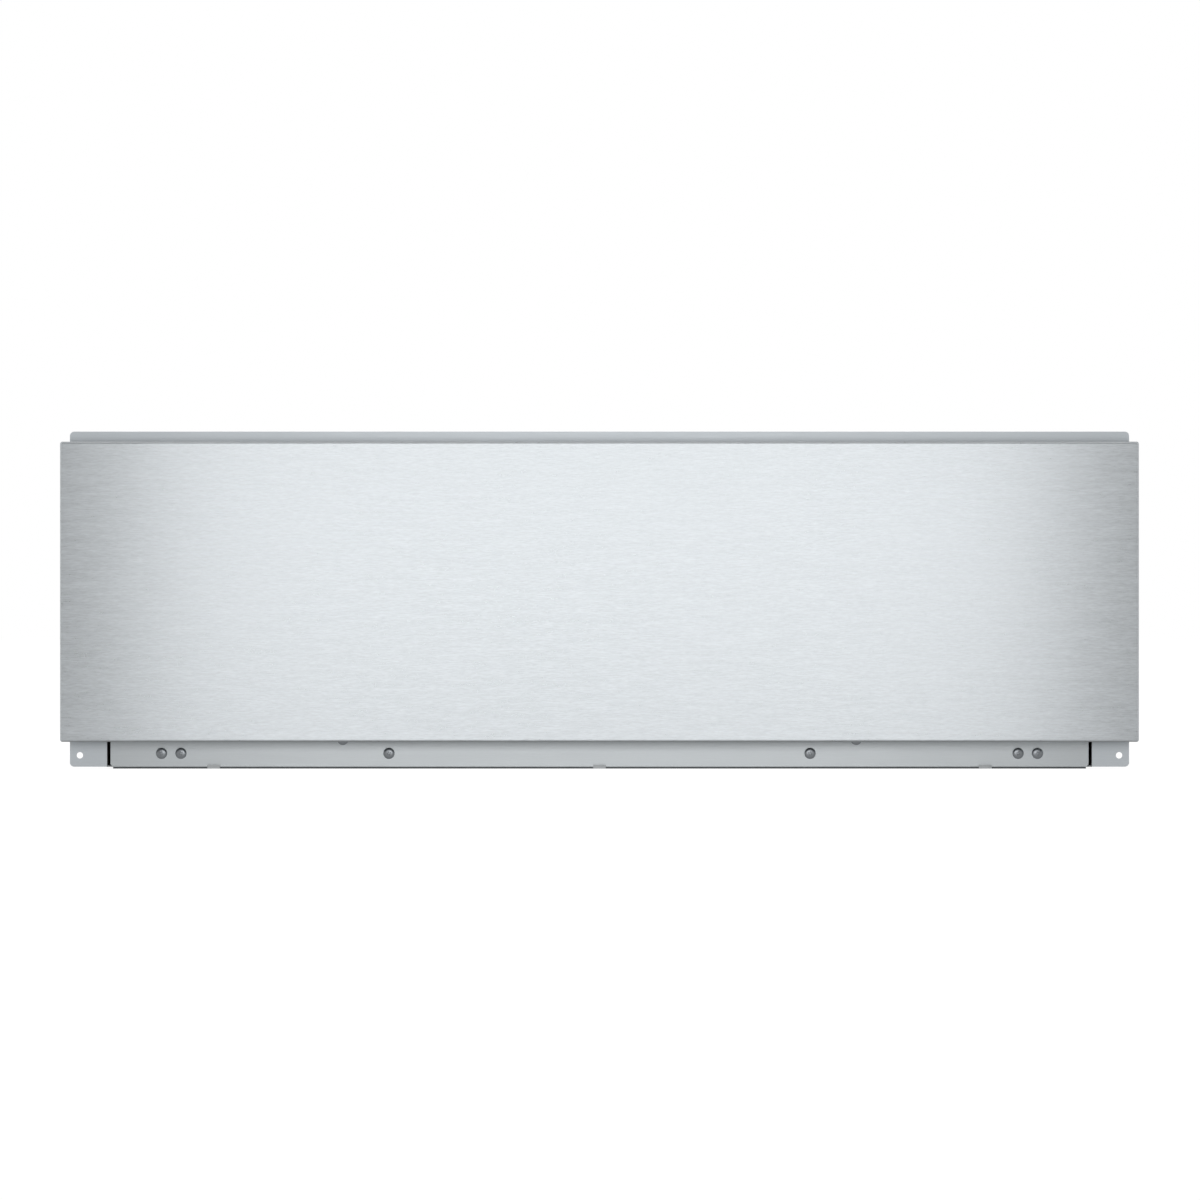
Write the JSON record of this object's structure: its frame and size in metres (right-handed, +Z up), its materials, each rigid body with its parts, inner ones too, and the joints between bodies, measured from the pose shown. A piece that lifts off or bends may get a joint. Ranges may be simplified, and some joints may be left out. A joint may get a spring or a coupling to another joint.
{
  "type": "built-in warming drawer",
  "caption": "Built-in warming drawer with a flat stainless push-to-open front, a mounting frame, a heated cavity and a deep pan on ball runners.",
  "frame": {"origin": "middle of the footprint's bounding box, on the surface that the case stands on", "axes": "+X to the right along the front, -Y out of the front, +Z up"},
  "size_m": [0.756, 0.584, 0.2367],
  "materials": {
    "brushed_steel": "fine horizontal grain, satin",
    "inner_steel": "fine satin",
    "zinc_steel": "zinc-coated sheet, dull",
    "dark_steel": "dull zinc-coated sheet, darker",
    "reflector": "aluminised sheet",
    "screw_steel": "bright",
    "element_sheath": "heat-darkened sheath",
    "black_plastic": "fine grain, black",
    "lamp": "clear amber",
    "ceramic": "unglazed off-white",
    "copper": "drawn copper",
    "mineral_wool": "yellowish mineral wool",
    "harness": "heat-resistant sleeve",
    "rubber": "black"
  },
  "bodies": {
    "chassis": {"mounting_frame": "brushed_steel", "frame_rivets": "zinc_steel", "left_side_wall": "zinc_steel", "right_side_wall": "zinc_steel", "base_plate": "dark_steel", "top_cover": "zinc_steel", "rear_panel": "zinc_steel", "case_screws": "screw_steel", "bottom_front_rail": "brushed_steel", "rail_brackets": "zinc_steel", "rail_screws": "screw_steel", "control_fascia": "brushed_steel", "control_bezel": "black_plastic", "switch_body": "black_plastic", "thermostat": "zinc_steel", "indicator_lamp": "lamp", "cavity_liner": "inner_steel", "heat_reflector": "reflector", "heating_element": "element_sheath", "element_clips": "zinc_steel", "element_seals": "ceramic", "temperature_sensor": "copper", "thermal_cutout": "black_plastic", "insulation_top": "mineral_wool", "insulation_sides": "mineral_wool", "insulation_rear": "mineral_wool", "insulation_floor": "mineral_wool", "heat_shield": "zinc_steel", "terminal_block": "ceramic", "terminal_cover": "zinc_steel", "cable_gland": "black_plastic", "supply_harness": "harness", "heater_harness": "harness", "harness_clips": "black_plastic", "left_fixed_rail": "zinc_steel", "right_fixed_rail": "zinc_steel", "latch_housing": "black_plastic", "latch_spring": "screw_steel", "stop_pads": "rubber"},
    "drawer": {"front_panel": "brushed_steel", "front_insulation": "mineral_wool", "front_inner_panel": "inner_steel", "front_brackets": "zinc_steel", "drawer_frame": "inner_steel", "drawer_screws": "screw_steel", "warming_pan": "inner_steel", "wire_rack": "screw_steel", "left_drawer_rail": "zinc_steel", "right_drawer_rail": "zinc_steel", "latch_striker": "inner_steel"},
    "left_middle": {"left_middle_rail": "zinc_steel"},
    "right_middle": {"right_middle_rail": "zinc_steel"},
    "left_outer_cage": {"left_outer_ball_cage": "zinc_steel"},
    "left_inner_cage": {"left_inner_ball_cage": "zinc_steel"},
    "right_outer_cage": {"right_outer_ball_cage": "zinc_steel"},
    "right_inner_cage": {"right_inner_ball_cage": "zinc_steel"},
    "knob": {"temperature_knob": "black_plastic", "knob_shaft": "screw_steel"},
    "rocker": {"power_rocker": "black_plastic"},
    "plunger": {"latch_plunger": "screw_steel"}
  },
  "joints": [
    {"name": "drawer_slide", "type": "slide", "parent": "chassis", "child": "drawer", "axis": [0, -1, 0], "range_m": [-0.0025, 0.43]},
    {"name": "left_middle_slide", "type": "slide", "parent": "chassis", "child": "left_middle", "axis": [0, -1, 0], "range_m": [-0.00125, 0.215]},
    {"name": "left_outer_cage_slide", "type": "slide", "parent": "chassis", "child": "left_outer_cage", "axis": [0, -1, 0], "range_m": [-0.00063, 0.1075]},
    {"name": "left_inner_cage_slide", "type": "slide", "parent": "chassis", "child": "left_inner_cage", "axis": [0, -1, 0], "range_m": [-0.00187, 0.3225]},
    {"name": "right_middle_slide", "type": "slide", "parent": "chassis", "child": "right_middle", "axis": [0, -1, 0], "range_m": [-0.00125, 0.215]},
    {"name": "right_outer_cage_slide", "type": "slide", "parent": "chassis", "child": "right_outer_cage", "axis": [0, -1, 0], "range_m": [-0.00063, 0.1075]},
    {"name": "right_inner_cage_slide", "type": "slide", "parent": "chassis", "child": "right_inner_cage", "axis": [0, -1, 0], "range_m": [-0.00187, 0.3225]},
    {"name": "knob_turn", "type": "hinge", "parent": "chassis", "child": "knob", "pos_m": [0.2964, -0.25, 0.205], "axis": [0, 1, 0], "range_deg": [0, 270]},
    {"name": "rocker_tilt", "type": "hinge", "parent": "chassis", "child": "rocker", "pos_m": [0.2508, -0.248, 0.205], "axis": [-1, 0, 0], "range_deg": [0, 14]},
    {"name": "latch_press", "type": "slide", "parent": "chassis", "child": "plunger", "axis": [0, 1, 0], "range_m": [0, 0.006], "stiffness_N_per_m": 400, "deforming": ["latch_spring"]}
  ],
  "couplings": [
    {"joint": "left_middle_slide", "follows": "drawer_slide", "ratio": 0.5},
    {"joint": "left_outer_cage_slide", "follows": "drawer_slide", "ratio": 0.25},
    {"joint": "left_inner_cage_slide", "follows": "drawer_slide", "ratio": 0.75},
    {"joint": "right_middle_slide", "follows": "drawer_slide", "ratio": 0.5},
    {"joint": "right_outer_cage_slide", "follows": "drawer_slide", "ratio": 0.25},
    {"joint": "right_inner_cage_slide", "follows": "drawer_slide", "ratio": 0.75}
  ]
}
